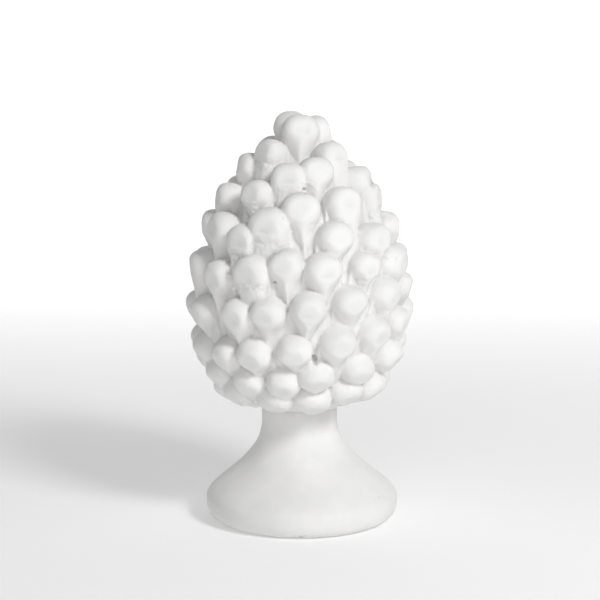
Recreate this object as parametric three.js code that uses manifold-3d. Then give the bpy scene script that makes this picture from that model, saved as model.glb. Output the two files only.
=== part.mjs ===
// A cast plaster pinecone finial: an egg-shaped cone covered in rounded scales, on a bell-shaped foot.
// Millimetres, +Z up. The origin is the centre of the foot's underside, and the front is towards -Y.
import * as THREE from "three";
import { mergeVertices } from "three/addons/utils/BufferGeometryUtils.js";
import Module from "manifold-3d";

// The foot is turned: a flat underside, a rim that is a quarter superellipse, a bell and a neck. From the
// rim up to the neck it leans towards -X, and the cone stands aside with the neck.
const UNDERSIDE_RADIUS = 47.7;
const FOOT_RADIUS = 59.2;
const RIM_RISE = 13.3;
const RIM_ROUNDNESS = 2.8;
const BELL_RISE = 48.2;
const BELL_FULLNESS_LOW = 0.2;
const BELL_FULLNESS_HIGH = 0.52;
const NECK_RADIUS = 23;
const NECK_LENGTH = 3;
const NECK_SUNK_IN_CONE = 22;
const CONE_ASIDE = 1.5;

// The middles of the scales' heads lie on an egg, and the core of the cone is a smaller egg inside it
const CONE_HEIGHT = 177.2;
const CONE_RADIUS = 60.4;
const WIDEST_SHARE = 0.39;
const BELLY_ROUNDNESS = 2.05;
const SHOULDER_ROUNDNESS = 2.1;
const TIP_RADIUS = 5;
const CORE_DEPTH = 0.8;
const CORE_DEPTH_AT_TIP = 6;

// One scale: a head like a thumb's end, on a stalk that runs down into the core. The head is rounder seen
// from the front than from the side, where its face is flat.
const HEAD_HALF_WIDTH = 11;
const HEAD_CAP = 10.2;
const HEAD_THICKNESS = 8.9;
const HEAD_UNDER_THICKNESS = 10;
const HEAD_ROUNDNESS = 2.1;
const HEAD_FLATNESS = 2.7;
const STALK_LENGTH = 28;

// The stalk narrows from the head's width by a power of the way behind the head's middle, and its section
// is as square as its kind's after a length. Its ridge sinks from where the face ends. The last is how sharp
// the crease between ridge and apron is.
const NARROWING = 1.35;
const SQUARED_BY = 12;
const FACE_BEHIND = 1;
const CREASE = 4;

// How far a scale leans out from the slope of the core, at the bottom of the cone and at its tip
const LEAN_BOTTOM = 13;
const LEAN_TIP = 30;

// The three kinds of scale. Behind its head each has a ridge on a low apron, whose widths and heights are
// shares of the head's. A keeled scale is pinched to a ridge, and a broad one is flat like a finger. Then
// come the lengths behind the head's middle by which it is narrowed and sunk. Where the sides sink sooner
// than the middle, by the share given last, the head's underside is V-shaped.
const KINDS = {
  keeled: {
    ridgeWidth: 0.2,
    ridgeHeight: 0.64,
    apronWidth: 1.15,
    apronHeight: 0.42,
    squareness: 1.4,
    headSquareness: 2.4,
    narrowBy: 20,
    sunkBy: 22,
    sidesSooner: 0.9,
  },
  plain: {
    ridgeWidth: 0.3,
    ridgeHeight: 0.46,
    apronWidth: 1.05,
    apronHeight: 0.4,
    squareness: 1.6,
    headSquareness: 2.4,
    narrowBy: 17,
    sunkBy: 17,
    sidesSooner: 1,
  },
  broad: {
    ridgeWidth: 0.64,
    ridgeHeight: 0.86,
    apronWidth: 1.15,
    apronHeight: 0.42,
    squareness: 2.8,
    headSquareness: 2.6,
    narrowBy: 17,
    sunkBy: 26,
    sidesSooner: 0,
  },
};
const VEE_ROUNDNESS = 1.5;

// Rows of scales from the lowest up: how many, the height of the heads' middles as a share of the cone's,
// and where scale 0 stands, in degrees from the front towards +X. A row sways up towards one side, in
// hundredths of the cone's height, and its scales bunch together by some degrees, most at the front and
// not at the back. Last come the size and the length of the stalk as shares.
const ROW_COLUMNS = ["count", "share", "turn", "bunch", "bunchAt", "sway", "swayAt", "size", "stalk"];
const ROWS = [
  [12, 0.116, 7.4, 4, -14, 1.8, 153, 1.04, 0.5],
  [13, 0.214, -11.9, 4.9, -47, 5.5, 149, 1, 0.8],
  [15, 0.305, -1.9, 1.2, 63, 5.8, 119, 1, 1],
  [14, 0.413, 7, 4, -53, 3.8, 90, 1, 1],
  [14, 0.529, -5.1, 7.4, -62, 1.3, 45, 1.02, 1],
  [12, 0.65, -4.8, 12.4, 83, 0.5, -90, 1.03, 1],
  [9, 0.755, -0.1, 4.5, 4, 0.8, -145, 1.02, 1],
  [7, 0.829, -25, 9.5, -39, 1.2, -59, 1, 1],
  [4, 0.894, -45, 4.3, 46, 0.7, -89, 0.98, 1],
  [3, 0.974, -8.2, 9.1, 30, 1, -147, 1.03, 1.1],
  [1, 0.93, 172, 0, 0, 0, 0, 1, 1.1],
].map((row) => Object.fromEntries(ROW_COLUMNS.map((name, i) => [name, row[i]])));

// Scales that a hand has set well out of their row, or made larger: degrees round the cone, hundredths of
// its height up, and a share of size
const STRAYS = [
  { row: 0, scale: -2, turn: 0, rise: 1.5, size: 1 },
  { row: 0, scale: -1, turn: 0, rise: 0.6, size: 1 },
  { row: 0, scale: 1, turn: 0, rise: 1.8, size: 1 },
  { row: 0, scale: 2, turn: 0, rise: 0.8, size: 1 },
  { row: 1, scale: -3, turn: 3, rise: 1.5, size: 1 },
  { row: 1, scale: 1, turn: -2.5, rise: 1.2, size: 1 },
  { row: 2, scale: -2, turn: 3, rise: 0, size: 1 },
  { row: 3, scale: -2, turn: 6, rise: 0, size: 1 },
  { row: 4, scale: -2, turn: 0, rise: -2.1, size: 1 },
  { row: 4, scale: -1, turn: 0, rise: 0, size: 1.1 },
  { row: 4, scale: 0, turn: 0, rise: 2.1, size: 1 },
  { row: 4, scale: 2, turn: 0, rise: 0, size: 0.9 },
  { row: 4, scale: 3, turn: -3, rise: 0, size: 1.1 },
  { row: 5, scale: -1, turn: 4.5, rise: -2.3, size: 0.97 },
  { row: 5, scale: 0, turn: -3.1, rise: 2.8, size: 1.1 },
  { row: 5, scale: 1, turn: 3.2, rise: -0.7, size: 1 },
  { row: 5, scale: 2, turn: -6.5, rise: -2.4, size: 1 },
  { row: 6, scale: -2, turn: 3, rise: -1, size: 1 },
  { row: 6, scale: -1, turn: 2.7, rise: 1.7, size: 1 },
  { row: 6, scale: 0, turn: -3.4, rise: -2, size: 1.1 },
  { row: 6, scale: 1, turn: -5.5, rise: 0, size: 1 },
  { row: 6, scale: 2, turn: 0, rise: 0.6, size: 1 },
  { row: 7, scale: -1, turn: -3, rise: 1, size: 1 },
  { row: 7, scale: 0, turn: 6.5, rise: -1.2, size: 0.97 },
  { row: 7, scale: 1, turn: -3, rise: 1.5, size: 1 },
  { row: 7, scale: 2, turn: 0, rise: -1.6, size: 1 },
  { row: 9, scale: -1, turn: -15, rise: 0, size: 1 },
  { row: 9, scale: 0, turn: 10, rise: 1, size: 1 },
];
const IN_ROW = { turn: 0, rise: 0, size: 1 };

// Which scales of each row are keeled and which are broad, counted from scale 0. The rest are plain.
const KEELED = [
  [],
  [-2, -1, 0, 5],
  [-2, 2, -6],
  [-2, 0, 2, 5],
  [-2, 0, 1, 5],
  [-2, 5],
  [-2, 0, 4],
  [1, -3],
  [2],
  [0],
  [],
];
const BROAD = [[4], [6], [4, -5], [4, -6], [-3, -1, 6], [-1, 0, -5], [1, 2, -4], [0, 3], [0, 1], [1], []];

// Small differences between neighbours: degrees of twist, share of size
const TWIST = 7;
const SIZE_SPREAD = 0.04;

// Fineness of the faces. The sides of a scale are given in degrees from its outermost line, and its cap's
// rings in degrees from the head's middle.
const TURNED_SEGMENTS = 40;
const RIM_ANGLES = [0, 15, 35, 60, 90];
const BELL_STEPS = 9;
const CORE_STEPS = 18;
const CORE_CROWDING = 1.4;
const SCALE_SIDES = [0, 22, 45, 68, 92, 140, 220, 268, 292, 315, 338];
const CAP_ANGLES = [62, 32];
const STALK_STATIONS = [0, 5, 10, 16];

// Where solids are joined, corners are merged while no face moves by more than the slack, in millimetres,
// or turns by more than some degrees
const SLACKS = [0.05, 0.2, 0.4, 0.6, 0.7];
const MOST_TURN = 50;
const SAME_PLACE = 1e-4;

const GOLDEN = (Math.sqrt(5) - 1) / 2;
const NECK_BOTTOM = RIM_RISE + BELL_RISE;
const CONE_BOTTOM = NECK_BOTTOM + NECK_LENGTH;
const WIDEST_RISE = CONE_HEIGHT * WIDEST_SHARE;
const SLOPE_STEP = CONE_HEIGHT / 400;

const wasm = await Module();
wasm.setup();

const { lerp, smoothstep, degToRad: radians } = THREE.MathUtils;

// A number from -1 to 1 that differs from one scale to the next and is the same on every run.
function spread(number, kind) {
  const share = number * GOLDEN + kind * Math.SQRT1_2;
  return 2 * (share - Math.floor(share)) - 1;
}

// A closed solid from a geometry, with the seam's doubled corners joined and empty faces dropped.
function solidOf(geometry) {
  const bare = geometry.clone();
  for (const name of ["normal", "uv"]) {
    bare.deleteAttribute(name);
  }
  const joined = mergeVertices(bare, SAME_PLACE);
  const corners = joined.index.array;
  const kept = [];
  for (let i = 0; i < corners.length; i += 3) {
    const [a, b, c] = corners.slice(i, i + 3);
    if (a !== b && b !== c && c !== a) {
      kept.push(a, b, c);
    }
  }
  const mesh = new wasm.Mesh({
    numProp: 3,
    vertProperties: joined.attributes.position.array,
    triVerts: new Uint32Array(kept),
  });
  return new wasm.Manifold(mesh);
}

function geometryOf(solid) {
  const mesh = solid.getMesh();
  const geometry = new THREE.BufferGeometry();
  geometry.setAttribute("position", new THREE.BufferAttribute(mesh.vertProperties, 3));
  geometry.setIndex(new THREE.BufferAttribute(mesh.triVerts, 1));
  geometry.computeVertexNormals();
  return geometry;
}

// A closed solid turned round the Z axis from an outline that starts and ends on it, going up. Each ring is
// moved aside by what the function aside gives for its height.
function turned(outline, aside) {
  const geometry = new THREE.LatheGeometry(outline, TURNED_SEGMENTS);
  geometry.rotateX(Math.PI / 2);
  const place = geometry.attributes.position;
  for (let i = 0; i < place.count; i++) {
    place.setX(i, place.getX(i) - aside(place.getZ(i)));
  }
  return solidOf(geometry);
}

// Radius of the heads' egg at a rise above its bottom: a superellipse belly under an ogive shoulder.
function eggRadius(rise) {
  if (rise < WIDEST_RISE) {
    const down = Math.min(1, 1 - rise / WIDEST_RISE);
    return CONE_RADIUS * (1 - down ** BELLY_ROUNDNESS) ** (1 / BELLY_ROUNDNESS);
  }
  const up = Math.min(1, (rise - WIDEST_RISE) / (CONE_HEIGHT - WIDEST_RISE));
  return TIP_RADIUS + (CONE_RADIUS - TIP_RADIUS) * (1 - up ** SHOULDER_ROUNDNESS);
}

// The slope of the egg's side at a rise: its angle from the vertical, outwards positive.
function eggSlope(rise) {
  const wider = eggRadius(rise + SLOPE_STEP) - eggRadius(rise - SLOPE_STEP);
  return Math.atan2(wider, 2 * SLOPE_STEP);
}

// The foot: up the rounded rim, in along the bell, and up the neck until it is inside the cone.
function foot() {
  const power = 2 / RIM_ROUNDNESS;
  const points = [new THREE.Vector2(0, 0)];
  for (const angle of RIM_ANGLES) {
    const out = Math.sin(radians(angle)) ** power;
    const left = Math.max(0, Math.cos(radians(angle))) ** power;
    points.push(new THREE.Vector2(lerp(UNDERSIDE_RADIUS, FOOT_RADIUS, out), RIM_RISE * (1 - left)));
  }
  const bell = new THREE.CubicBezierCurve(
    points.pop(),
    new THREE.Vector2(FOOT_RADIUS, RIM_RISE + BELL_RISE * BELL_FULLNESS_LOW),
    new THREE.Vector2(NECK_RADIUS, NECK_BOTTOM - BELL_RISE * BELL_FULLNESS_HIGH),
    new THREE.Vector2(NECK_RADIUS, NECK_BOTTOM),
  );
  const neckTop = CONE_BOTTOM + NECK_SUNK_IN_CONE;
  points.push(...bell.getPoints(BELL_STEPS));
  points.push(new THREE.Vector2(NECK_RADIUS, neckTop), new THREE.Vector2(0, neckTop));
  return turned(points, (rise) => CONE_ASIDE * smoothstep(rise, RIM_RISE, NECK_BOTTOM));
}

// The core: closely spaced outline points at the bottom, where it curves most.
function core() {
  const points = [];
  for (let i = 0; i <= CORE_STEPS; i++) {
    const share = (i / CORE_STEPS) ** CORE_CROWDING;
    const depth = lerp(CORE_DEPTH, CORE_DEPTH_AT_TIP, share);
    const radius = i === CORE_STEPS ? 0 : Math.max(0, eggRadius(CONE_HEIGHT * share) - depth);
    points.push(new THREE.Vector2(radius, CONE_BOTTOM + CONE_HEIGHT * share));
  }
  return turned(points, () => CONE_ASIDE);
}

// The upper half of a superellipse: 1 in the middle, 0 at -1 and 1 and beyond them.
function bow(across, squareness) {
  return Math.max(0, 1 - Math.abs(across) ** squareness) ** (1 / squareness);
}

// One ring of a scale's skin, in its own frame: X across, Y along the scale, Z outwards. The ridge and the
// apron are taken together as the power mean of their heights, and the side towards the core is round.
function ring(kind, behind, along, width, thickness) {
  const narrow = Math.min(1, behind / kind.narrowBy) ** NARROWING;
  const wide = Math.max(kind.ridgeWidth, kind.apronWidth);
  const wholeHalf = lerp(1, wide, narrow);
  const ridgeHalf = lerp(1, kind.ridgeWidth, narrow);
  const squareness = lerp(kind.headSquareness, kind.squareness, smoothstep(behind, 0, SQUARED_BY));
  return SCALE_SIDES.map((side) => {
    const across = Math.sin(radians(side));
    const out = Math.cos(radians(side));
    const sooner = 1 + kind.sidesSooner * Math.abs(across) ** VEE_ROUNDNESS;
    const ridgeHeight = lerp(1, kind.ridgeHeight, smoothstep(behind * sooner, FACE_BEHIND, kind.sunkBy));
    const ridge = bow((across * wholeHalf) / ridgeHalf, squareness) * ridgeHeight;
    const apron = bow((across * wide) / kind.apronWidth, 2) * kind.apronHeight * narrow;
    const outer = HEAD_THICKNESS * (ridge ** CREASE + apron ** CREASE) ** (1 / CREASE);
    const height = out > 0 ? outer : HEAD_UNDER_THICKNESS * out;
    return new THREE.Vector3(HEAD_HALF_WIDTH * wholeHalf * across * width, along, height * thickness);
  });
}

// A scale in its own frame, with the origin at the middle of its head: rings from its tip to its end.
function scaleGeometry(kind, stalkShare, size) {
  const power = 2 / HEAD_ROUNDNESS;
  const rings = CAP_ANGLES.map((angle) => {
    const reach = Math.sin(radians(angle)) ** power;
    const width = size * Math.cos(radians(angle)) ** power;
    return ring(kind, 0, HEAD_CAP * size * reach, width, size * bow(reach, HEAD_FLATNESS));
  });
  const length = STALK_LENGTH * stalkShare;
  const stations = STALK_STATIONS.filter((station) => station < length);
  for (const behind of [...stations, length]) {
    rings.push(ring(kind, behind, -behind * size, size, size));
  }
  const end = -length * size;
  const around = SCALE_SIDES.length;
  const points = [new THREE.Vector3(0, HEAD_CAP * size, 0), ...rings.flat()];
  points.push(new THREE.Vector3(0, end, 0));
  const last = points.length - 1;
  const corners = [];
  for (let j = 0; j < around; j++) {
    const next = (j + 1) % around;
    corners.push(0, 1 + j, 1 + next);
    for (let i = 0; i < rings.length - 1; i++) {
      const here = 1 + i * around;
      const below = here + around;
      corners.push(here + j, below + j, below + next, here + j, below + next, here + next);
    }
    const lowest = 1 + (rings.length - 1) * around;
    corners.push(lowest + j, last, lowest + next);
  }
  const geometry = new THREE.BufferGeometry();
  geometry.setFromPoints(points);
  geometry.setIndex(corners);
  return geometry;
}

// Where a scale stands: its head on the core, leaning out from the slope there and twisted a little.
function scalePlace(turn, rise, twist) {
  const slope = eggSlope(rise);
  const lean = radians(lerp(LEAN_BOTTOM, LEAN_TIP, rise / CONE_HEIGHT));
  const round = radians(turn);
  const side = new THREE.Vector3(Math.cos(round), Math.sin(round), 0);
  const radial = new THREE.Vector3(Math.sin(round), -Math.cos(round), 0);
  const up = new THREE.Vector3(0, 0, 1);
  const tilt = slope + lean;
  const along = up.clone().multiplyScalar(Math.cos(tilt)).addScaledVector(radial, Math.sin(tilt));
  const out = radial.clone().multiplyScalar(Math.cos(tilt)).addScaledVector(up, -Math.sin(tilt));
  along.applyAxisAngle(out, radians(twist));
  side.applyAxisAngle(out, radians(twist));
  const place = new THREE.Matrix4().makeBasis(side, along, out);
  const middle = radial.multiplyScalar(eggRadius(rise));
  middle.x -= CONE_ASIDE;
  middle.z = CONE_BOTTOM + rise;
  return place.setPosition(middle);
}

// Every scale of the cone, as a list of solids.
function scales() {
  const solids = [];
  ROWS.forEach((row, rowNumber) => {
    for (let k = 0; k < row.count; k++) {
      const number = k > row.count / 2 ? k - row.count : k;
      const even = row.turn + (360 / row.count) * number;
      const stray = STRAYS.find((entry) => entry.row === rowNumber && entry.scale === number);
      const moved = stray ?? IN_ROW;
      const front = (1 + Math.cos(radians(even))) / 2;
      const bunched = row.bunch * front * Math.cos(2 * radians(even - row.bunchAt));
      const turn = even + bunched + moved.turn;
      const swayed = row.sway * Math.cos(radians(even - row.swayAt));
      const rise = CONE_HEIGHT * (row.share + (swayed + moved.rise) / 100);
      const keeled = KEELED[rowNumber].includes(number);
      const broad = BROAD[rowNumber].includes(number);
      const kind = keeled ? KINDS.keeled : broad ? KINDS.broad : KINDS.plain;
      const count = solids.length;
      const size = row.size * moved.size * (1 + SIZE_SPREAD * spread(count, 1));
      const geometry = scaleGeometry(kind, row.stalk, size);
      geometry.applyMatrix4(scalePlace(turn, rise, TWIST * spread(count, 2)));
      solids.push(solidOf(geometry));
    }
  });
  return solids;
}

function finial() {
  let whole = foot().add(core());
  for (const scale of scales()) {
    whole = whole.add(scale);
  }
  return whole;
}

// The plane of a face, with its normal set to length 0 where the face has no area.
function planeOf(points, face) {
  const plane = new THREE.Plane();
  return plane.setFromCoplanarPoints(points[face[0]], points[face[1]], points[face[2]]);
}

// Merges corners of a closed skin into their neighbours while every face stays within the slacks. The
// planes that a corner lay on are kept, so that the slack is never passed by many small steps. Corners on
// the ground are only merged with one another, so that the underside stays flat and in its place.
function merged(geometry) {
  const place = geometry.attributes.position;
  const points = [];
  for (let i = 0; i < place.count; i++) {
    points.push(new THREE.Vector3().fromBufferAttribute(place, i));
  }
  const faces = [];
  const grounded = points.map((point) => Math.abs(point.z) < SAME_PLACE);
  const facesAt = points.map(() => new Set());
  const planesAt = points.map(() => []);
  for (let i = 0; i < geometry.index.count; i += 3) {
    const face = [0, 1, 2].map((k) => geometry.index.getX(i + k));
    const plane = planeOf(points, face);
    for (const corner of face) {
      facesAt[corner].add(faces.length);
      planesAt[corner].push(plane);
    }
    faces.push(face);
  }
  const around = (corner) => {
    const near = new Set();
    for (const f of facesAt[corner]) {
      faces[f].forEach((other) => near.add(other));
    }
    near.delete(corner);
    return near;
  };
  const error = (from, to) => {
    const point = points[to];
    const strays = planesAt[from].map((plane) => Math.abs(plane.distanceToPoint(point)));
    return Math.max(...strays);
  };
  const leastDot = Math.cos(radians(MOST_TURN));
  const flips = (from, to) =>
    [...facesAt[from]].some((f) => {
      if (faces[f].includes(to)) {
        return false;
      }
      const before = planeOf(points, faces[f]).normal;
      const after = planeOf(points, faces[f].map((corner) => (corner === from ? to : corner))).normal;
      return before.dot(after) < leastDot;
    });
  for (const slack of SLACKS) {
    for (let from = 0; from < points.length; from++) {
      const near = [...around(from)];
      const choices = near.map((to) => [error(from, to), to]).filter(([stray]) => stray < slack);
      choices.sort((a, b) => a[0] - b[0]);
      const fit = choices.find(([, to]) => {
        const shared = near.filter((other) => around(to).has(other));
        const onGround = grounded[to] || !grounded[from];
        return shared.length === 2 && onGround && !flips(from, to);
      });
      if (!fit) {
        continue;
      }
      const to = fit[1];
      for (const f of facesAt[from]) {
        if (faces[f].includes(to)) {
          faces[f].forEach((corner) => corner !== from && facesAt[corner].delete(f));
          faces[f] = null;
        } else {
          faces[f] = faces[f].map((corner) => (corner === from ? to : corner));
          facesAt[to].add(f);
        }
      }
      facesAt[from].clear();
      planesAt[to].push(...planesAt[from]);
    }
  }
  const lighter = new THREE.BufferGeometry();
  lighter.setAttribute("position", place.clone());
  lighter.setIndex(faces.filter((face) => face).flat());
  const used = mergeVertices(lighter.toNonIndexed(), SAME_PLACE);
  used.computeVertexNormals();
  return used;
}

const plaster = new THREE.MeshStandardMaterial({ color: 0xeceae6, roughness: 0.85, metalness: 0 });
plaster.name = "plaster";

const cone = new THREE.Mesh(merged(geometryOf(finial())), plaster);
cone.name = "pinecone_finial";

const model = new THREE.Group();
model.name = "pinecone_finial_model";
model.add(cone);

export default model;
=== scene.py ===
"""A cast plaster pinecone finial on a bell-shaped foot: its surface, its plaster, and a pale stage for it.

Laid out as an add-on for Blender 4.5 and run as a script. Lengths are in metres and +Z is up. The origin
is the centre of the foot's underside, and the front is towards -Y.
"""

import math

import bpy
import numpy as np
from bpy.props import FloatProperty, FloatVectorProperty, IntProperty, PointerProperty
from bpy.types import Operator, Panel, PropertyGroup
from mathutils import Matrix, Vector


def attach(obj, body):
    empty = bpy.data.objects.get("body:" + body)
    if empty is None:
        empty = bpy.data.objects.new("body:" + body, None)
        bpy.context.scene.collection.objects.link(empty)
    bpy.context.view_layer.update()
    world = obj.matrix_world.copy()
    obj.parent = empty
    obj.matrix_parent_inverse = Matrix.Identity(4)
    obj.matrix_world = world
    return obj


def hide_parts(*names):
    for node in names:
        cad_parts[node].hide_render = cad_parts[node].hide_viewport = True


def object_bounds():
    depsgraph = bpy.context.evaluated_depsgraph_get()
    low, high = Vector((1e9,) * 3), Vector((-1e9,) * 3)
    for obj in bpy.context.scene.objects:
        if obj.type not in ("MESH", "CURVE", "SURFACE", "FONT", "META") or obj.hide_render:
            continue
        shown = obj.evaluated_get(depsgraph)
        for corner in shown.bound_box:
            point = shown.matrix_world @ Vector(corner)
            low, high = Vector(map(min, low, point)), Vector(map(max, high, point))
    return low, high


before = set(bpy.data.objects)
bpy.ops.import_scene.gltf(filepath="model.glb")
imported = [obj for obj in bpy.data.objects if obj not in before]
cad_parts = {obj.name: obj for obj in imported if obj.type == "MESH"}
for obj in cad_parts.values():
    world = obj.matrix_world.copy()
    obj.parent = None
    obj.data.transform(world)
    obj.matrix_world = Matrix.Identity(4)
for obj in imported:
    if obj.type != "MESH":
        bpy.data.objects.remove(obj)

bl_info = {
    "name": "Pinecone finial",
    "version": (1, 0, 0),
    "blender": (4, 5, 0),
    "location": "View3D > Sidebar > Finial",
    "description": "Makes a cast plaster pinecone finial and a pale stage for it",
    "category": "Add Mesh",
}

CAD_NODE = "pinecone_finial"
CAD_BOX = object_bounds()
MM = 0.001

# How far inside the solid's box the cast stays, in metres
BOX_MARGIN = 2e-7

# The golden ratio's share. Its multiples, wrapped, spread the scales' differences evenly.
GOLDEN = (math.sqrt(5) - 1) / 2

# Rows of scales from the lowest up. The share is the height of the heads' middles on the cone, and turn is
# where scale 0 stands, in degrees from the front towards +X. A row sways up towards one side, in hundredths
# of the cone's height, and its scales bunch together by some degrees, most at the front and not at the back.
# count, share, turn, bunch, bunch_at, sway, sway_at, size, stalk
ROWS = (
    (12, 0.116, 7.4, 4, -14, 1.8, 153, 1.04, 0.5),
    (13, 0.214, -11.9, 4.9, -47, 5.5, 149, 1, 0.8),
    (15, 0.305, -1.9, 1.2, 63, 5.8, 119, 1, 1),
    (14, 0.413, 7, 4, -53, 3.8, 90, 1, 1),
    (14, 0.529, -5.1, 7.4, -62, 1.3, 45, 1.02, 1),
    (12, 0.65, -4.8, 12.4, 83, 0.5, -90, 1.03, 1),
    (9, 0.755, -0.1, 4.5, 4, 0.8, -145, 1.02, 1),
    (7, 0.829, -25, 9.5, -39, 1.2, -59, 1, 1),
    (4, 0.894, -45, 4.3, 46, 0.7, -89, 0.98, 1),
    (3, 0.974, -8.2, 9.1, 30, 1, -147, 1.03, 1.1),
    (1, 0.93, 172, 0, 0, 0, 0, 1, 1.1),
)

# The egg's slope is read over a step of its height divided by this
SLOPE_STEPS = 400

# Scales set out of their row: (row, scale) to degrees round, hundredths of the height up, share of size
STRAYS = {
    (0, -2): (0, 1.5, 1),
    (0, -1): (0, 0.6, 1),
    (0, 1): (0, 1.8, 1),
    (0, 2): (0, 0.8, 1),
    (1, -3): (3, 1.5, 1),
    (1, 1): (-2.5, 1.2, 1),
    (2, -2): (3, 0, 1),
    (3, -2): (6, 0, 1),
    (4, -2): (0, -2.1, 1),
    (4, -1): (0, 0, 1.1),
    (4, 0): (0, 2.1, 1),
    (4, 2): (0, 0, 0.9),
    (4, 3): (-3, 0, 1.1),
    (5, -1): (4.5, -2.3, 0.97),
    (5, 0): (-3.1, 2.8, 1.1),
    (5, 1): (3.2, -0.7, 1),
    (5, 2): (-6.5, -2.4, 1),
    (6, -2): (3, -1, 1),
    (6, -1): (2.7, 1.7, 1),
    (6, 0): (-3.4, -2, 1.1),
    (6, 1): (-5.5, 0, 1),
    (6, 2): (0, 0.6, 1),
    (7, -1): (-3, 1, 1),
    (7, 0): (6.5, -1.2, 0.97),
    (7, 1): (-3, 1.5, 1),
    (7, 2): (0, -1.6, 1),
    (9, -1): (-15, 0, 1),
    (9, 0): (10, 1, 1),
}

# Which scales of each row are keeled and which are broad, counted from scale 0. The rest are plain.
KEELED = (
    (),
    (-2, -1, 0, 5),
    (-2, 2, -6),
    (-2, 0, 2, 5),
    (-2, 0, 1, 5),
    (-2, 5),
    (-2, 0, 4),
    (1, -3),
    (2,),
    (0,),
    (),
)
BROAD = ((4,), (6,), (4, -5), (4, -6), (-3, -1, 6), (-1, 0, -5), (1, 2, -4), (0, 3), (0, 1), (1,), ())

# How much neighbours differ: degrees of twist, share of size
TWIST = 7
SIZE_SPREAD = 0.04

# The three kinds of scale. Behind its head each has a ridge on a low apron. All are shares of the head's:
# ridge width, ridge height, apron width and apron height, then the squareness of the ridge and of the head,
# and how far behind the head's middle, in millimetres, it is narrowed and sunk. Where the sides sink sooner
# than the middle, by the share given last, the head's underside is V-shaped.
KINDS = {
    "keeled": (0.2, 0.64, 1.15, 0.42, 1.4, 2.4, 20, 22, 0.9),
    "plain": (0.3, 0.46, 1.05, 0.4, 1.6, 2.4, 17, 17, 1),
    "broad": (0.64, 0.86, 1.15, 0.42, 2.8, 2.6, 17, 26, 0),
}
VEE_ROUNDNESS = 1.5

# The head is rounder seen from the front than from the side, where its face is flat. Its ridge narrows by a
# power of the way behind the head's middle and sinks from where the face ends, and its section is as square
# as its kind's after a length. The crease is how sharp the line between ridge and apron is. Lengths are in
# millimetres.
HEAD_ROUNDNESS = 2.1
HEAD_FLATNESS = 2.7
HEAD_UNDER_THICKNESS = 10
FACE_BEHIND = 1
SQUARED_BY = 12
NARROWING = 1.35
CREASE = 4

# The egg that the heads stand on, the core inside it, and how far scales lean out from the egg's slope at
# the bottom and at the tip. Lengths are in millimetres and angles in degrees.
WIDEST_SHARE = 0.39
BELLY_ROUNDNESS = 2.05
SHOULDER_ROUNDNESS = 2.1
TIP_RADIUS = 5
CORE_DEPTH = 0.8
CORE_DEPTH_AT_TIP = 6
CORE_CROWDING = 1.4
LEAN_BOTTOM = 13
LEAN_TIP = 30

# The foot's rim is a quarter superellipse, and its bell a cubic curve with two fullnesses
RIM_ROUNDNESS = 2.8
BELL_FULLNESS_LOW = 0.2
BELL_FULLNESS_HIGH = 0.52
NECK_SUNK_IN_CONE = 22

# How many rings and points the surfaces have, enough for the skin that is fused from them
RIM_RINGS = 24
BELL_RINGS = 80
FOOT_AROUND = 240
CORE_RINGS = 90
CORE_AROUND = 180
CAP_RINGS = 14
STALK_RINGS = 28
OUTER_POINTS = 51
INNER_POINTS = 16

# Scales that bear a plain print of the fingers that pressed the first model, and how strong it is: a scoop
# under the head, with the plaster crumpled in it. Others bear one by chance.
PRINTED = {
    (2, -1): 0.7,
    (3, -1): 0.4,
    (3, 2): 0.8,
    (4, -4): 0.6,
    (4, -1): 1.0,
    (4, 2): 0.9,
    (5, -3): 0.8,
    (5, -1): 1.0,
    (5, 0): 1.0,
    (5, 1): 0.6,
    (5, 2): 0.8,
    (6, -1): 1.0,
    (6, 1): 0.5,
    (6, 2): 1.0,
    (7, 0): 0.9,
    (7, 1): 0.5,
    (8, 0): 1.0,
    (9, 0): 0.2,
    (9, 1): 0.8,
}
PRINT_CHANCE = 0.35

# A print in its scale's frame, in millimetres: where its edge lies behind the head's middle, how far the edge
# bends back at the head's sides and wanders, where it fades at the sides, where past its edge the scoop
# begins, is deepest and ends, and where the crumpled part begins, is full, thins out and ends. It is sought
# within a half width, a length and two levels above the scale's middle line.
PRINT_START = 3
PRINT_BEND = 3.5
PRINT_WANDER = 1.5
PRINT_SIDES = (6, 11)
PRINT_SCOOP = (-1, 3.5, 13)
PRINT_ROUGH = (0.6, 2.5, 6, 13)
PRINT_HALF_WIDTH = 12
PRINT_LENGTH = 22
PRINT_LEVELS = (2, 12)
SCOOP_DEPTH = {"keeled": 0.5, "plain": 0.5, "broad": 1.3}
CRUMPLE_HEIGHT = 0.42
CRUMPLE_SIZE = (2.8, 1.8, 3)
UNEVEN_SIZE = 4

# The heads' pressed faces, in millimetres: how far out, how much tilted, how soft their edge is, and how far
# they reach to each side and along the scale, from a middle above the head's own. What lies below and above
# the face by the two levels is left alone, and the cut fades out between the last two lengths.
FACE_LEVEL = 8.1
FACE_TILT = 0.08
FACE_SOFTNESS = 0.15
FACE_HALF_WIDTH = 10
FACE_HALF_LENGTH = 8
FACE_MIDDLE = 3
FACE_LEVELS = (2, 3)
FACE_FADE = (-5, -1)

# Points along each side of the noise's lattice, after which it repeats
LATTICE = 32

# Low lumps all over: height and size in millimetres, and the seed. The foot has a share of them, which grows
# to all between two heights below and above the cone's bottom, in millimetres.
LUMPS = ((0.42, 8, 1), (0.12, 3.5, 2))
LUMPS_ON_FOOT = 0.3
LUMPS_BELOW_CONE = 3
LUMPS_ABOVE_CONE = 4

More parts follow.
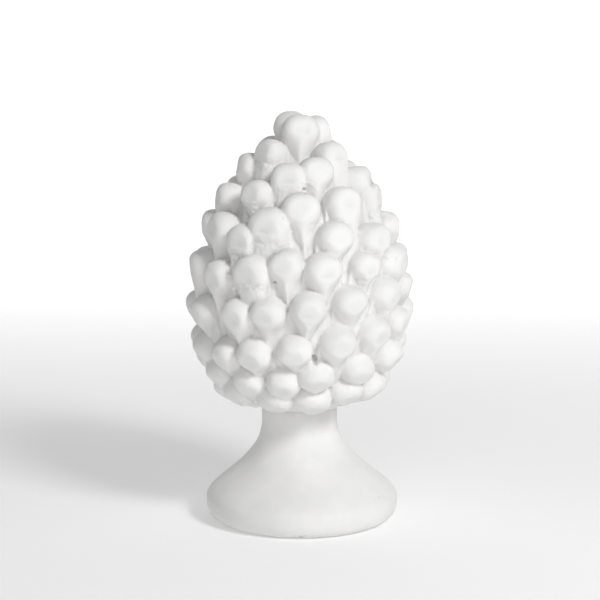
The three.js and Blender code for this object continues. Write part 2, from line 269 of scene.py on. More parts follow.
# Small pits left by air and by dropped crumbs of plaster: bearing from the front towards +X and height on
# the finial, then radius and depth, in millimetres
PITS = (
    (1.8, 205.6, 1.1, 3),
    (-15.5, 153.3, 0.9, 2.2),
    (7, 109.8, 1.5, 2.5),
    (8, 107.3, 1.9, 2),
    (62.7, 18.2, 1.4, 0.35),
    (118, 140, 0.8, 1.6),
    (-140, 170, 0.8, 1.6),
    (160, 120, 0.9, 1.8),
    (-75, 182, 0.7, 1.4),
)

# Chips, most of them along the foot's lowest edge at the front: bearing, then height, half width, half height
# and depth in millimetres
CHIPS = (
    (-5, 1.5, 3.2, 1, 0.5),
    (-1, 0.8, 1.6, 1.2, 0.9),
    (1.5, 2, 2.2, 0.8, 0.6),
    (8, 2.2, 3.4, 0.9, 0.7),
    (12, 1.2, 1.8, 1, 0.5),
    (57, 19.5, 2.6, 0.7, 0.3),
)

# Thin seams of plaster that ran into cracks of the mould: two ends, each a bearing and a height, then how
# far they stand out and how thick they are, in millimetres
SEAMS = (
    (0, 211, 7, 209.6, 0.3, 0.5),
    (7, 209.6, 14, 204.8, 0.3, 0.5),
    (-45, 77.6, -34, 79.4, 1.0, 0.5),
)

# Where the edges of pits, chips and seams begin and end, as shares of their size, the radius that turns a
# seam's bearings into lengths, and how ragged chips and seams are. Lengths are in millimetres.
PIT_EDGE = (0.4, 1.3)
CHIP_EDGE = (0.6, 1.1)
SEAM_EDGE = (0.5, 1.8)
SEAM_REACH = 40
RAGGED_SHARE = 0.35
RAGGED_SIZE = 1.2

# Rounds and shares of evening the fused skin. Creases, which get painted shade, are read from a skin evened
# by more rounds, and count as full where it lies so many millimetres above them.
EVEN_ROUNDS = 4
EVEN_SHARE = 0.5
EVEN_BACK = 0.9
HOLLOW_ROUNDS = 5
HOLLOW_FULL = 0.5

# The view: the picture's width, the finial's height in it, the camera's distance, the height of its aim and
# its shift sideways, all in picture points, the finial's height in metres, the elevation in degrees, and the
# sensor's width in millimetres
PICTURE_WIDTH = 600
FINIAL_POINTS = 409
FINIAL_HEIGHT = 0.25
CAMERA_POINTS = 1670
AIM_POINTS = 220.9
SHIFT_POINTS = -1.95
CAMERA_ELEVATION = 8.5
SENSOR_WIDTH = 36

# Square soft lamps: name, bearing and elevation in degrees, distance and size in metres, power in watts
LAMPS = (("key", 39, 35, 1.6, 0.4, 14.6), ("fill", -6, 14, 2.0, 1.2, 8.4))
LAMP_AIM_HEIGHT = 0.13
ROOM_LIGHT = 0.22

# The backdrop: its size and bend in metres, its paint, and its own light, a share of it at the finial and all
# of it some metres behind
BACKDROP_FRONT = -2.5
BACKDROP_BEND = 1.5
BACKDROP_RADIUS = 0.8
BACKDROP_TOP = 3.0
BACKDROP_HALF_WIDTH = 3.5
BACKDROP_RINGS = 24
BACKDROP_PAINT = (0.8, 0.8, 0.8, 1)
BACKDROP_ROUGHNESS = 0.95
BACKDROP_GLOW = 0.7
GLOW_AT_FINIAL = 0.32
GLOW_FULL_BEHIND = 1.4

# The plaster's shades as shares of its colour, the darkest being the painted shade of the creases, and how
# much of that painted shade lies in the creases
PALE_SHADE = 1.03
DULL_SHADE = 0.955
PAINTED_CREASE_SHADE = 0.62
PAINTED_CREASE_SHARE = 0.5

# The plaster's noises: lumps per metre, and how many finer rounds are laid over them
CLOUDS = (38.0, 4.0)
GRAIN = (900.0, 3.0)
TOOTH = (260.0, 4.0)
CRUMPLE = (420.0, 2.0)

# The shares of the clouds' noise at which the plaster is dull and pale
DULL_AT = 0.3
PALE_AT = 0.7

# How high the noises stand in the bump, as shares of its distance in metres, and how rough the plaster is
GRAIN_BUMP = 0.035
TOOTH_BUMP = 0.1
CRUMPLE_BUMP = 0.8
BUMP_DISTANCE = 0.001
ROUGHNESS_LOW = 0.78
ROUGHNESS_SPREAD = 0.12
GLOSS = 0.25


class FinialSizes(PropertyGroup):
    """Sizes of the finial, all in metres."""

    underside_radius: FloatProperty(
        name="Underside radius",
        description="Radius of the foot's flat underside",
        default=0.0477,
        unit="LENGTH",
    )
    foot_radius: FloatProperty(
        name="Foot radius", description="Radius of the foot at its widest", default=0.0592, unit="LENGTH"
    )
    rim_rise: FloatProperty(
        name="Rim rise", description="Height of the foot's widest line", default=0.0133, unit="LENGTH"
    )
    bell_rise: FloatProperty(
        name="Bell rise", description="Height of the bell above the rim", default=0.0482, unit="LENGTH"
    )
    neck_radius: FloatProperty(
        name="Neck radius", description="Radius of the neck under the cone", default=0.023, unit="LENGTH"
    )
    neck_length: FloatProperty(
        name="Neck length",
        description="Height of the neck between bell and cone",
        default=0.003,
        unit="LENGTH",
    )
    cone_aside: FloatProperty(
        name="Cone aside",
        description="How far the neck and the cone stand towards -X",
        default=0.0015,
        unit="LENGTH",
    )
    cone_height: FloatProperty(
        name="Cone height", description="Height of the egg under the scales", default=0.1772, unit="LENGTH"
    )
    cone_radius: FloatProperty(
        name="Cone radius", description="Widest radius of the ring of heads", default=0.0604, unit="LENGTH"
    )
    head_half_width: FloatProperty(
        name="Head half width", description="Half the width of a scale's head", default=0.011, unit="LENGTH"
    )
    head_cap: FloatProperty(
        name="Head cap", description="Length of a head beyond its middle", default=0.0102, unit="LENGTH"
    )
    head_thickness: FloatProperty(
        name="Head thickness",
        description="How far a head stands out from its middle",
        default=0.0089,
        unit="LENGTH",
    )
    stalk_length: FloatProperty(
        name="Stalk length", description="Length of a stalk down into the core", default=0.028, unit="LENGTH"
    )


class FinialFinish(PropertyGroup):
    """Colour and fineness of the plaster."""

    plaster_colour: FloatVectorProperty(
        name="Plaster",
        description="Colour of the dry plaster",
        default=(0.8, 0.796, 0.788),
        subtype="COLOR",
        size=3,
    )
    voxel: FloatProperty(
        name="Fineness", description="Size of the smallest relief", default=0.0006, unit="LENGTH"
    )
    most_faces: IntProperty(
        name="Most faces", description="Triangles that the cast may have", default=190000
    )


def spread(number, kind):
    """A number from -1 to 1 for each scale: the golden ratio's multiples, wrapped, the same on every run."""
    share = number * GOLDEN + kind * math.sqrt(0.5)
    return 2 * (share - math.floor(share)) - 1


def smoothstep(value, low, high):
    """0 below low, 1 above high, and the cubic 3t^2 - 2t^3 between them."""
    t = np.clip((value - low) / (high - low), 0, 1)
    return t * t * (3 - 2 * t)


def egg_radius(sizes, rise):
    """Radius of the egg that the heads stand on: a superellipse belly under an ogive 1 - t^p shoulder."""
    widest = sizes.cone_height * WIDEST_SHARE
    tip = TIP_RADIUS * MM
    down = np.clip(1 - rise / widest, 0, 1)
    belly = sizes.cone_radius * (1 - down**BELLY_ROUNDNESS) ** (1 / BELLY_ROUNDNESS)
    up = np.clip((rise - widest) / (sizes.cone_height - widest), 0, 1)
    shoulder = tip + (sizes.cone_radius - tip) * (1 - up**SHOULDER_ROUNDNESS)
    return np.where(rise < widest, belly, shoulder)


def wrapped_grid(x, y, z):
    """Vertices and quads of a grid that closes on itself along its second axis."""
    rows, columns = x.shape
    points = np.stack([x, y, z], axis=-1).reshape(-1, 3)
    i, j = np.meshgrid(np.arange(rows - 1), np.arange(columns), indexing="ij")
    beside = (j + 1) % columns
    row, below = i * columns, (i + 1) * columns
    quads = np.stack([row + j, below + j, below + beside, row + beside], -1)
    return points, quads.reshape(-1, 4)


def turned_surface(radius, height, around):
    """A profile carried round Z: x = r sin(a), y = -r cos(a), for profile points going up."""
    angle = np.linspace(0, 2 * math.pi, around, endpoint=False)
    x = radius[:, None] * np.sin(angle)
    y = -radius[:, None] * np.cos(angle)
    z = np.repeat(height[:, None], around, axis=1)
    points, quads = wrapped_grid(x, y, z)
    return points, quads[:, ::-1]


def bezier(a, b, c, d, count):
    """Points on a cubic curve from a to d with handles b and c."""
    t = np.linspace(0, 1, count)
    return (1 - t) ** 3 * a + 3 * (1 - t) ** 2 * t * b + 3 * (1 - t) * t**2 * c + t**3 * d


def foot_surface(sizes):
    """Foot and neck: a rim that is a quarter superellipse, a bell that is one cubic curve, and a neck that
    ends inside the cone. From the rim to the neck each ring moves aside by a smooth step of its height."""
    quarter = np.radians(np.linspace(0, 90, RIM_RINGS))
    overhang = sizes.foot_radius - sizes.underside_radius
    rim_r = sizes.underside_radius + overhang * np.sin(quarter) ** (2 / RIM_ROUNDNESS)
    rim_z = sizes.rim_rise * (1 - np.cos(quarter) ** (2 / RIM_ROUNDNESS))
    neck_bottom = sizes.rim_rise + sizes.bell_rise
    wide, slim = sizes.foot_radius, sizes.neck_radius
    bell_r = bezier(wide, wide, slim, slim, BELL_RINGS)
    bell_z = bezier(
        sizes.rim_rise,
        sizes.rim_rise + sizes.bell_rise * BELL_FULLNESS_LOW,
        neck_bottom - sizes.bell_rise * BELL_FULLNESS_HIGH,
        neck_bottom,
        BELL_RINGS,
    )
    top = neck_bottom + sizes.neck_length + NECK_SUNK_IN_CONE * MM
    radius = np.concatenate([[0], rim_r, bell_r[1:], [sizes.neck_radius, 0]])
    height = np.concatenate([[0], rim_z, bell_z[1:], [top, top]])
    points, quads = turned_surface(radius, height, FOOT_AROUND)
    points[:, 0] -= sizes.cone_aside * smoothstep(points[:, 2], sizes.rim_rise, neck_bottom)
    return points, quads


def core_surface(sizes):
    """The core: the heads' egg drawn in, a little at the belly and more at the tip."""
    share = np.linspace(0, 1, CORE_RINGS) ** CORE_CROWDING
    depth = (CORE_DEPTH + (CORE_DEPTH_AT_TIP - CORE_DEPTH) * share) * MM
    radius = np.maximum(0, egg_radius(sizes, sizes.cone_height * share) - depth)
    radius[-1] = 0
    bottom = sizes.rim_rise + sizes.bell_rise + sizes.neck_length
    points, quads = turned_surface(radius, bottom + sizes.cone_height * share, CORE_AROUND)
    points[:, 0] -= sizes.cone_aside
    return points, quads


def bow(across, squareness):
    """The upper half of a superellipse: (1 - |x|^n)^(1/n), and 0 beyond its ends."""
    return np.clip(1 - np.abs(across) ** squareness, 0, 1) ** (1 / squareness)


def scale_surface(sizes, kind, stalk_share, size):
    """One scale in its own frame, X across, Y along, Z out: rings from the head's tip to the stalk's end.

    The head's rings are as wide as one superellipse and as thick as another. Behind its middle a ring's outer
    side is a power mean of two bows, (ridge^4 + apron^4)^(1/4), whose sizes go over from the head's.
    """
    ridge_width, ridge_height, apron_width, apron_height, squareness = kind[:5]
    head_squareness, narrow_by, sunk_by, sides_sooner = kind[5:]
    cap = np.radians(np.linspace(90, 0, CAP_RINGS))
    back = np.linspace(0, 1, STALK_RINGS)[1:] * sizes.stalk_length * stalk_share
    whole = np.ones(len(back))
    reach = np.sin(cap) ** (2 / HEAD_ROUNDNESS)
    along = np.concatenate([sizes.head_cap * reach, -back, [-back[-1]]]) * size
    behind = np.concatenate([np.zeros(CAP_RINGS), back, [back[-1]]])
    share = np.concatenate([np.cos(cap) ** (2 / HEAD_ROUNDNESS), whole, [0]]) * size
    thick = np.concatenate([bow(reach, HEAD_FLATNESS), whole, [0]]) * size
    narrow = np.clip(behind / (narrow_by * MM), 0, 1) ** NARROWING
    outer_turn = np.linspace(-90, 90, OUTER_POINTS)
    inner_turn = np.linspace(90, 270, INNER_POINTS)[1:-1]
    angle = np.radians(np.concatenate([outer_turn, inner_turn]))
    across = np.sin(angle)[None, :]
    sooner = 1 + sides_sooner * np.abs(across) ** VEE_ROUNDNESS
    sunk = smoothstep(behind[:, None] * sooner, FACE_BEHIND * MM, sunk_by * MM)
    wide = max(ridge_width, apron_width)
    ridge_half = 1 + (ridge_width - 1) * narrow
    whole_half = 1 + (wide - 1) * narrow
    n = head_squareness + (squareness - head_squareness) * smoothstep(behind, 0, SQUARED_BY * MM)
    ridge = bow(across * (whole_half / ridge_half)[:, None], n[:, None]) * (1 + (ridge_height - 1) * sunk)
    apron = bow(across * (wide / apron_width), 2) * (apron_height * narrow)[:, None]
    outer = (ridge**CREASE + apron**CREASE) ** (1 / CREASE) * sizes.head_thickness
    inner = np.cos(angle)[None, :] * HEAD_UNDER_THICKNESS * MM
    x = across * (sizes.head_half_width * share * whole_half)[:, None]
    z = np.where(np.cos(angle)[None, :] > 1e-9, outer, inner) * thick[:, None]
    y = np.repeat(along[:, None], angle.size, axis=1)
    return wrapped_grid(x, y, z)


def scale_place(sizes, turn, rise, twist):
    """A head's middle and axes (side, along, out), leaning out from the egg's slope and twisted a little."""
    step = sizes.cone_height / SLOPE_STEPS
    slope = math.atan2(egg_radius(sizes, rise + step) - egg_radius(sizes, rise - step), 2 * step)
    lean = math.radians(LEAN_BOTTOM + (LEAN_TIP - LEAN_BOTTOM) * rise / sizes.cone_height)
    a = math.radians(turn)
    tilt = slope + lean
    radial = np.array([math.sin(a), -math.cos(a), 0])
    side = np.array([math.cos(a), math.sin(a), 0])
    up = np.array([0, 0, 1.0])
    along = up * math.cos(tilt) + radial * math.sin(tilt)
    out = radial * math.cos(tilt) - up * math.sin(tilt)
    t = math.radians(twist)
    side, along = side * math.cos(t) + along * math.sin(t), along * math.cos(t) - side * math.sin(t)
    bottom = sizes.rim_rise + sizes.bell_rise + sizes.neck_length
    middle = radial * float(egg_radius(sizes, rise)) + up * (bottom + rise)
    middle[0] -= sizes.cone_aside
    return middle, np.array([side, along, out])


def all_scales(sizes):
    """Every scale of the cone: (middle, axes, kind, stalk share, size, print), row by row from the lowest."""
    found = []
    for r, (count, share, turn, bunch, bunch_at, sway, sway_at, size, stalk_share) in enumerate(ROWS):
        for k in range(count):
            number = k - count if k > count / 2 else k
            even = turn + 360 / count * number
            moved = STRAYS.get((r, number), (0, 0, 1))
            front = (1 + math.cos(math.radians(even))) / 2
            around = even + bunch * front * math.cos(2 * math.radians(even - bunch_at)) + moved[0]
            swayed = sway * math.cos(math.radians(even - sway_at))
            rise = sizes.cone_height * (share + (swayed + moved[1]) / 100)
            kind = "keeled" if number in KEELED[r] else "broad" if number in BROAD[r] else "plain"
            n = len(found)
            grown = size * moved[2] * (1 + SIZE_SPREAD * spread(n, 1))
            middle, axes = scale_place(sizes, around, rise, TWIST * spread(n, 2))
            chance = PRINT_CHANCE * (1 + spread(n, 3))
            found.append((middle, axes, kind, stalk_share, grown, PRINTED.get((r, number), chance)))
    return found


def joined(parts):
    """Several (points, quads) as one pair, the quads counted on."""
    starts = np.cumsum([0] + [len(points) for points, _ in parts[:-1]])
    points = np.concatenate([points for points, _ in parts])
    quads = np.concatenate([quads + start for (_, quads), start in zip(parts, starts)])
    return points, quads


def mesh_object(name, points, faces):
    """A new object in the scene from arrays of points and of faces with the same number of corners."""
    mesh = bpy.data.meshes.new(name)
    corners = faces.shape[1]
    mesh.vertices.add(len(points))
    mesh.vertices.foreach_set("co", points.astype(np.float32).ravel())
    mesh.loops.add(faces.size)
    mesh.loops.foreach_set("vertex_index", faces.astype(np.int32).ravel())
    mesh.polygons.add(len(faces))
    mesh.polygons.foreach_set("loop_start", np.arange(0, faces.size, corners, dtype=np.int32))
    mesh.polygons.foreach_set("loop_total", np.full(len(faces), corners, dtype=np.int32))
    mesh.update(calc_edges=True)
    mesh.validate()
    piece = bpy.data.objects.new(name, mesh)
    bpy.context.scene.collection.objects.link(piece)
    return piece


def settled(piece):
    """Applies the piece's modifiers to its mesh."""
    graph = bpy.context.evaluated_depsgraph_get()
    mesh = bpy.data.meshes.new_from_object(piece.evaluated_get(graph))
    piece.modifiers.clear()
    old = piece.data
    piece.data = mesh
    bpy.data.meshes.remove(old)


def fused(piece, voxel):
    """Makes one skin of all the closed surfaces of the piece that overlap."""
    fuse = piece.modifiers.new("fuse", "REMESH")
    fuse.mode = "VOXEL"
    fuse.voxel_size = voxel
    fuse.adaptivity = 0
    settled(piece)


def vertex_array(mesh):
    """The mesh's points as rows of three numbers."""
    points = np.empty(len(mesh.vertices) * 3, np.float32)
    mesh.vertices.foreach_get("co", points)
    return points.reshape(-1, 3).astype(float)


def neighbours(mesh):
    """The two ends of every edge, and how many edges meet at each point."""
    edges = np.empty(len(mesh.edges) * 2, np.int32)
    mesh.edges.foreach_get("vertices", edges)
    a, b = edges.reshape(-1, 2).T
    count = len(mesh.vertices)
    return a, b, np.bincount(a, minlength=count) + np.bincount(b, minlength=count)


def neighbour_mean(points, a, b, degree):
    """The mean of each point's neighbours along the edges."""
    total = np.empty_like(points)
    for axis in range(3):
        column = points[:, axis]
        total[:, axis] = np.bincount(a, column[b], len(points)) + np.bincount(b, column[a], len(points))
    return total / degree[:, None]


def evened(piece, rounds, share):
    """Moves each point towards the mean of its neighbours by a share, and part of the way back, so that the
    steps of the fused skin go and its volume stays."""
    mesh = piece.data
    points = vertex_array(mesh)
    around = neighbours(mesh)
    for i in range(rounds):
        step = share if i % 2 == 0 else -share * EVEN_BACK
        points += step * (neighbour_mean(points, *around) - points)
    mesh.vertices.foreach_set("co", points.astype(np.float32).ravel())
    mesh.update()


def noise(points, size, seed):
    """Smooth random numbers from -1 to 1: a lattice of them, read between its points by smooth steps."""
    table = np.random.default_rng(seed).uniform(-1, 1, (LATTICE, LATTICE, LATTICE))
    place = points / size
    low = np.floor(place).astype(int)
    t = place - low
    t = t * t * (3 - 2 * t)
    found = np.zeros(len(points))
    for corner in range(8):
        step = np.array([corner & 1, corner >> 1 & 1, corner >> 2 & 1])
        i, j, k = ((low + step) % LATTICE).T
        found += np.prod(np.where(step, t, 1 - t), axis=1) * table[i, j, k]
    return found


def normal_array(mesh):
    """The mesh's normals at its points as rows of three numbers."""
    normals = np.empty(len(mesh.vertices) * 3, np.float32)
    mesh.vertex_normals.foreach_get("vector", normals)
    return normals.reshape(-1, 3).astype(float)


def point_attribute(mesh, name, values):
    """Stores one number for each point of the mesh under a name."""
    layer = mesh.attributes.new(name, "FLOAT", "POINT")
    layer.data.foreach_set("value", values.astype(np.float32))


def arc(bearing, turn, reach):
    """How far round from a bearing a point lies, in millimetres along its circle."""
    return np.radians((bearing - turn + 180) % 360 - 180) * reach / MM


def faced(points, scales):
    """Flattens each head's face as a thumb does: what stands out beyond a slightly tilted plane is cut back
    by the soft step s log(1 + e^(over / s)), fading out behind the head's middle."""
    for number, (middle, axes, _, _, size, _) in enumerate(scales):
        x, y, z = ((points - middle) @ axes.T / (size * MM)).T
        beside = (np.abs(x) < FACE_HALF_WIDTH) & (np.abs(y - FACE_MIDDLE) < FACE_HALF_LENGTH)
        on_face = beside & (z > FACE_LEVEL - FACE_LEVELS[0]) & (z < FACE_LEVEL + FACE_LEVELS[1])
        x, y, z = x[on_face], y[on_face], z[on_face]
        level = FACE_LEVEL + FACE_TILT * (spread(number, 6) * x + spread(number, 7) * y)
        over = np.logaddexp(0, (z - level) / FACE_SOFTNESS) * FACE_SOFTNESS
        over *= smoothstep(y, *FACE_FADE)
        points[on_face] -= over[:, None] * axes[2] * size * MM


def worked(piece, sizes, scales):
    """What hands and the mould left: each point moves along its normal by low noise, more on the cone than on
    the foot, and by the prints. A print is a scoop behind an arc -y = a + b x^2 in its scale's frame, made
    of two smooth steps and crumpled by stretched noise. Pits and chips go in, and seams stand out, by a
    smooth step of the distance from their middle or their line."""
    mesh = piece.data
    points = vertex_array(mesh)
    faced(points, scales)
    mesh.vertices.foreach_set("co", points.astype(np.float32).ravel())
    mesh.update()
    normals = normal_array(mesh)
    cone_bottom = sizes.rim_rise + sizes.bell_rise + sizes.neck_length
    low, high = cone_bottom - LUMPS_BELOW_CONE * MM, cone_bottom + LUMPS_ABOVE_CONE * MM
    on_cone = smoothstep(points[:, 2], low, high)
    lumps = sum(height * noise(points, wide * MM, seed) for height, wide, seed in LUMPS)
    push = lumps * (LUMPS_ON_FOOT + (1 - LUMPS_ON_FOOT) * on_cone)
    worn = np.zeros(len(points))
    for number, (middle, axes, kind, _, size, strength) in enumerate(scales):
        x, y, z = ((points - middle) @ axes.T / (size * MM)).T
        behind = -y
        beside = (np.abs(x) < PRINT_HALF_WIDTH) & (behind > 0) & (behind < PRINT_LENGTH)
        near = beside & (z > PRINT_LEVELS[0]) & (z < PRINT_LEVELS[1])
        x, behind, z = x[near], behind[near], z[near]
        line = np.stack([x, x, x], -1) + 5 * number
        uneven = PRINT_WANDER * spread(number, 4) + noise(line, UNEVEN_SIZE, 3)
        past = behind - (PRINT_START + PRINT_BEND * (x / PRINT_SIDES[1]) ** 2 + uneven)
        aside = np.abs(x - PRINT_WANDER * spread(number, 5))
        sides = strength * (1 - smoothstep(aside, *PRINT_SIDES))
        begin, deepest, end = PRINT_SCOOP
        scoop = smoothstep(past, begin, deepest) * (1 - smoothstep(past, deepest, end))
        begin, full, thinning, end = PRINT_ROUGH
        rough = sides * smoothstep(past, begin, full) * (1 - smoothstep(past, thinning, end))
        crumpled = noise(np.stack([x, behind, z], -1) / CRUMPLE_SIZE + 7 * number, 1, 4)
        push[near] += rough * CRUMPLE_HEIGHT * crumpled - sides * scoop * SCOOP_DEPTH[kind]
        worn[near] = np.maximum(worn[near], rough)
    bearing = np.degrees(np.arctan2(points[:, 0], -points[:, 1]))
    reach = np.hypot(points[:, 0], points[:, 1])
    level = points[:, 2] / MM
    for turn, height, radius, depth in PITS:
        away = np.hypot(arc(bearing, turn, reach), level - height)
        push -= depth * (1 - smoothstep(away / radius, *PIT_EDGE))
    ragged = 1 + RAGGED_SHARE * noise(points, RAGGED_SIZE * MM, 5)
    for turn, height, half_width, half_height, depth in CHIPS:
        away = np.hypot(arc(bearing, turn, reach) / half_width, (level - height) / half_height) * ragged
        push -= depth * (1 - smoothstep(away, *CHIP_EDGE))
    for turn, height, end_turn, end_height, stands, thick in SEAMS:
        start = np.stack([arc(bearing, turn, reach), level - height], -1)
        way = np.array([math.radians(end_turn - turn) * SEAM_REACH, end_height - height])
        along = np.clip(start @ way / (way @ way), 0, 1)
        away = np.linalg.norm(start - along[:, None] * way, axis=1) * ragged
        push += stands * (1 - smoothstep(away / thick, *SEAM_EDGE))
    points += normals * (push * MM)[:, None]
    mesh.vertices.foreach_set("co", points.astype(np.float32).ravel())
    point_attribute(mesh, "worn", worn)
    mesh.update()


def hollowed(piece):
    """Stores how deep each point lies in a crease, the mask for the shade painted there: its distance to a
    smoothed skin, outwards, from 0 to 1.
    """
    mesh = piece.data
    points = vertex_array(mesh)
    around = neighbours(mesh)
    smooth = points
    for _ in range(HOLLOW_ROUNDS):
        smooth = neighbour_mean(smooth, *around)
    out = ((smooth - points) * normal_array(mesh)).sum(axis=1)
    point_attribute(mesh, "hollow", np.clip(out / (HOLLOW_FULL * MM), 0, 1))


def thinned(piece, most):
    """Merges faces where the surface is flat until there are no more triangles than most."""
    piece.data.update()
    triangles = len(piece.data.polygons) * 2
    if triangles > most:
        thin = piece.modifiers.new("thin", "DECIMATE")
        thin.ratio = most / triangles
        settled(piece)


def kept_in_box(piece):
    """Moves points that stand out of the solid's box onto its sides."""
    points = vertex_array(piece.data)
    low, high = (np.array(corner) for corner in CAD_BOX)
    inside = np.clip(points, low + BOX_MARGIN, high - BOX_MARGIN)
    piece.data.vertices.foreach_set("co", inside.astype(np.float32).ravel())
    piece.data.update()


class Sock:
    """A shader socket that can be added and multiplied, each adding a Math node."""

    def __init__(self, tree, socket):
        self.tree = tree
        self.socket = socket

    def maths(self, operation, other):
        return self.tree.node("ShaderNodeMath", {"operation": operation}, {0: self, 1: other})[0]

    def __add__(self, other):
        return self.maths("ADD", other)

    def __mul__(self, other):
        return self.maths("MULTIPLY", other)


class Tree:
    """A material's nodes, made anew."""

    def __init__(self, material):
        material.use_nodes = True
        self.nodes = material.node_tree.nodes
        self.links = material.node_tree.links
        self.nodes.clear()

    def node(self, kind, settings=None, values=None):
        """Adds a node: its settings first, a ramp's stops among them, then its sockets' values or links."""
        made = self.nodes.new(kind)
        for key, value in (settings or {}).items():
            if key == "stops":
                ramp = made.color_ramp
                while len(ramp.elements) < len(value):
                    ramp.elements.new(1)
                for element, (place, colour) in zip(ramp.elements, value):
                    element.position = place
                    element.color = colour
            else:
                setattr(made, key, value)
        for key, value in (values or {}).items():
            if isinstance(value, Sock):
                self.links.new(value.socket, made.inputs[key])
            else:
                made.inputs[key].default_value = value
        return [Sock(self, socket) for socket in made.outputs]

    def speckle(self, place, scale, detail):
        """Noise at a place: lumps per metre, and how many finer rounds are laid over them."""
        return self.node("ShaderNodeTexNoise", {}, {"Vector": place, "Scale": scale, "Detail": detail})[0]

    def mixed(self, share, first, second):
        """One colour over another by a share."""
        values = {"Factor": share, 6: first, 7: second}
        return self.node("ShaderNodeMix", {"data_type": "RGBA", "clamp_factor": True}, values)[2]


def plaster_material(colour):
    """Dry cast plaster: chalky, nearly white, faintly clouded, with a fine grain, and shade painted into its
    creases.
    """
    material = bpy.data.materials.new("cast_plaster")
    tree = Tree(material)
    place = tree.node("ShaderNodeTexCoord")[3]
    clouds = tree.speckle(place, *CLOUDS)
    grain = tree.speckle(place, *GRAIN)
    tooth = tree.speckle(place, *TOOTH)
    pale = [min(1.0, c * PALE_SHADE) for c in colour] + [1]
    dull = [c * DULL_SHADE for c in colour] + [1]
    stops = [(DULL_AT, dull), (PALE_AT, pale)]
    shade = tree.node("ShaderNodeValToRGB", {"stops": stops}, {"Fac": clouds})[0]
    # Painted shade: the creases are darkened in the colour itself, where shadow falls between the heads
    painted_crease_shade = [c * PAINTED_CREASE_SHADE for c in colour] + [1]
    worn = tree.node("ShaderNodeAttribute", {"attribute_name": "worn"})[2]
    hollow = tree.node("ShaderNodeAttribute", {"attribute_name": "hollow"})[2]
    crumple = tree.speckle(place, *CRUMPLE)
    height = grain * GRAIN_BUMP + tooth * TOOTH_BUMP + crumple * worn * CRUMPLE_BUMP
    bumped = {"Height": height, "Strength": 1.0, "Distance": BUMP_DISTANCE}
    bump = tree.node("ShaderNodeBump", {}, bumped)[0]
    rough = clouds * ROUGHNESS_SPREAD + ROUGHNESS_LOW
    surface = tree.node(
        "ShaderNodeBsdfPrincipled",
        {},
        {
            "Base Color": tree.mixed(hollow * PAINTED_CREASE_SHARE, shade, painted_crease_shade),
            "Roughness": rough,
            "Normal": bump,
            "Specular IOR Level": GLOSS,
        },
    )[0]
    tree.node("ShaderNodeOutputMaterial", {}, {"Surface": surface})
    return material


def backdrop_material(glow):
    """The pale backdrop's even paint, with light of its own that grows towards the back."""
    material = bpy.data.materials.new("pale_backdrop")
    tree = Tree(material)
    place = tree.node("ShaderNodeTexCoord")[3]
    depth = tree.node("ShaderNodeSeparateXYZ", {}, {"Vector": place})[1]
    span = {0: depth, 1: 0.0, 2: GLOW_FULL_BEHIND, 3: GLOW_AT_FINIAL, 4: 1.0}
    far = tree.node("ShaderNodeMapRange", {"interpolation_type": "SMOOTHSTEP"}, span)[0]
    surface = tree.node(
        "ShaderNodeBsdfPrincipled",
        {},
        {
            "Base Color": BACKDROP_PAINT,
            "Roughness": BACKDROP_ROUGHNESS,
            "Specular IOR Level": 0.0,
            "Emission Color": far,
            "Emission Strength": glow,
        },
    )[0]
    tree.node("ShaderNodeOutputMaterial", {}, {"Surface": surface})
    return material


def backdrop_surface():
    """A floor that bends up behind in a quarter circle: a profile in Y and Z carried straight along X."""
    turn = np.linspace(0, math.pi / 2, BACKDROP_RINGS)
    bent = BACKDROP_BEND + BACKDROP_RADIUS * np.sin(turn)
    y = np.concatenate([[BACKDROP_FRONT], bent, [BACKDROP_BEND + BACKDROP_RADIUS]])
    z = np.concatenate([[0], BACKDROP_RADIUS * (1 - np.cos(turn)), [BACKDROP_TOP]])
    x = np.array([-BACKDROP_HALF_WIDTH, BACKDROP_HALF_WIDTH])
    points = np.stack(np.broadcast_arrays(x[None, :], y[:, None], z[:, None]), -1).reshape(-1, 3)
    i = np.arange(len(y) - 1) * 2
    return points, np.stack([i, i + 1, i + 3, i + 2], -1)


class FINIAL_OT_cast(Operator):
    """Makes the plaster cast: foot, neck, core and scales as one skin"""

    bl_idname = "finial.cast"
    bl_label = "Plaster cast"

    def execute(self, context):
        sizes = context.scene.finial_sizes
        finish = context.scene.finial_finish
        parts = [foot_surface(sizes), core_surface(sizes)]
        scales = all_scales(sizes)
        for middle, axes, kind, stalk_share, size, _ in scales:
            points, quads = scale_surface(sizes, KINDS[kind], stalk_share, size)
            parts.append((middle + points @ axes, quads))
        points, quads = joined(parts)
        piece = mesh_object("plaster_pinecone_finial", points, quads)
        fused(piece, finish.voxel * (1))
        evened(piece, EVEN_ROUNDS, EVEN_SHARE)
        worked(piece, sizes, scales)
        thinned(piece, finish.most_faces)
        kept_in_box(piece)
        hollowed(piece)
        piece.data.shade_smooth()
        piece.data.materials.clear()
        piece.data.materials.append(plaster_material(tuple(finish.plaster_colour)))
        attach(piece, "root")
        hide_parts(CAD_NODE)
        return {"FINISHED"}


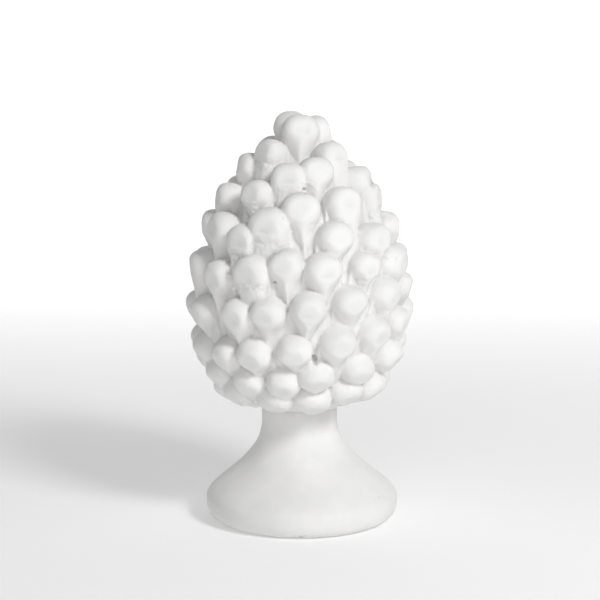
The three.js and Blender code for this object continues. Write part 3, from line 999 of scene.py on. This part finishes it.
class FINIAL_OT_stage(Operator):
    """Makes the pale floor, the soft lights and the camera"""

    bl_idname = "finial.stage"
    bl_label = "Stage"

    def execute(self, context):
        scene = context.scene
        points, quads = backdrop_surface()
        backdrop = mesh_object("backdrop", points, quads)
        backdrop.data.shade_smooth()
        backdrop.data.materials.append(backdrop_material(BACKDROP_GLOW))

        world = bpy.data.worlds.new("pale_room")
        world.use_nodes = True
        back = world.node_tree.nodes["Background"]
        back.inputs["Color"].default_value = (1, 1, 1, 1)
        back.inputs["Strength"].default_value = ROOM_LIGHT
        scene.world = world
        scene.view_settings.view_transform = "Standard"

        for values in LAMPS:
            self.lamp(*values)

        point = FINIAL_HEIGHT / FINIAL_POINTS
        distance = CAMERA_POINTS * point
        elevation = math.radians(CAMERA_ELEVATION)
        aim = Vector((0, 0, AIM_POINTS * point))
        place = aim + distance * Vector((0, -math.cos(elevation), math.sin(elevation)))
        data = bpy.data.cameras.new("camera")
        data.sensor_width = SENSOR_WIDTH
        data.lens = SENSOR_WIDTH * CAMERA_POINTS / PICTURE_WIDTH
        data.shift_x = SHIFT_POINTS / PICTURE_WIDTH
        camera = bpy.data.objects.new("camera", data)
        camera.location = place
        camera.rotation_euler = (aim - place).to_track_quat("-Z", "Y").to_euler()
        scene.collection.objects.link(camera)
        scene.camera = camera
        return {"FINISHED"}

    def lamp(self, name, bearing, elevation, distance, size, power):
        """A square soft light turned towards the middle of the finial, its bearing from the front to +X."""
        around = math.radians(bearing)
        above = math.radians(elevation)
        level = math.cos(above)
        aim = Vector((0, 0, LAMP_AIM_HEIGHT))
        way = Vector((math.sin(around) * level, -math.cos(around) * level, math.sin(above)))
        data = bpy.data.lights.new(name, "AREA")
        data.size = size
        data.energy = power
        lamp = bpy.data.objects.new(name, data)
        lamp.location = aim + way * distance
        lamp.rotation_euler = (-way).to_track_quat("-Z", "Y").to_euler()
        bpy.context.scene.collection.objects.link(lamp)


class FINIAL_PT_panel(Panel):
    """The finial's sizes and its makers, in the sidebar"""

    bl_idname = "FINIAL_PT_panel"
    bl_label = "Pinecone finial"
    bl_space_type = "VIEW_3D"
    bl_region_type = "UI"
    bl_category = "Finial"

    def draw(self, context):
        column = self.layout.column()
        for group in (context.scene.finial_sizes, context.scene.finial_finish):
            for name in group.bl_rna.properties.keys():
                if name not in ("rna_type", "name"):
                    column.prop(group, name)
        for operator in OPERATORS:
            column.operator(operator.bl_idname)


GROUPS = (FinialSizes, FinialFinish)
OPERATORS = (FINIAL_OT_cast, FINIAL_OT_stage)


def register():
    for item in (*GROUPS, *OPERATORS, FINIAL_PT_panel):
        bpy.utils.register_class(item)
    bpy.types.Scene.finial_sizes = PointerProperty(type=FinialSizes)
    bpy.types.Scene.finial_finish = PointerProperty(type=FinialFinish)


def unregister():
    del bpy.types.Scene.finial_finish
    del bpy.types.Scene.finial_sizes
    for item in reversed((*GROUPS, *OPERATORS, FINIAL_PT_panel)):
        bpy.utils.unregister_class(item)


def main():
    register()
    bpy.ops.finial.cast()
    bpy.ops.finial.stage()


if __name__ == "__main__":
    main()
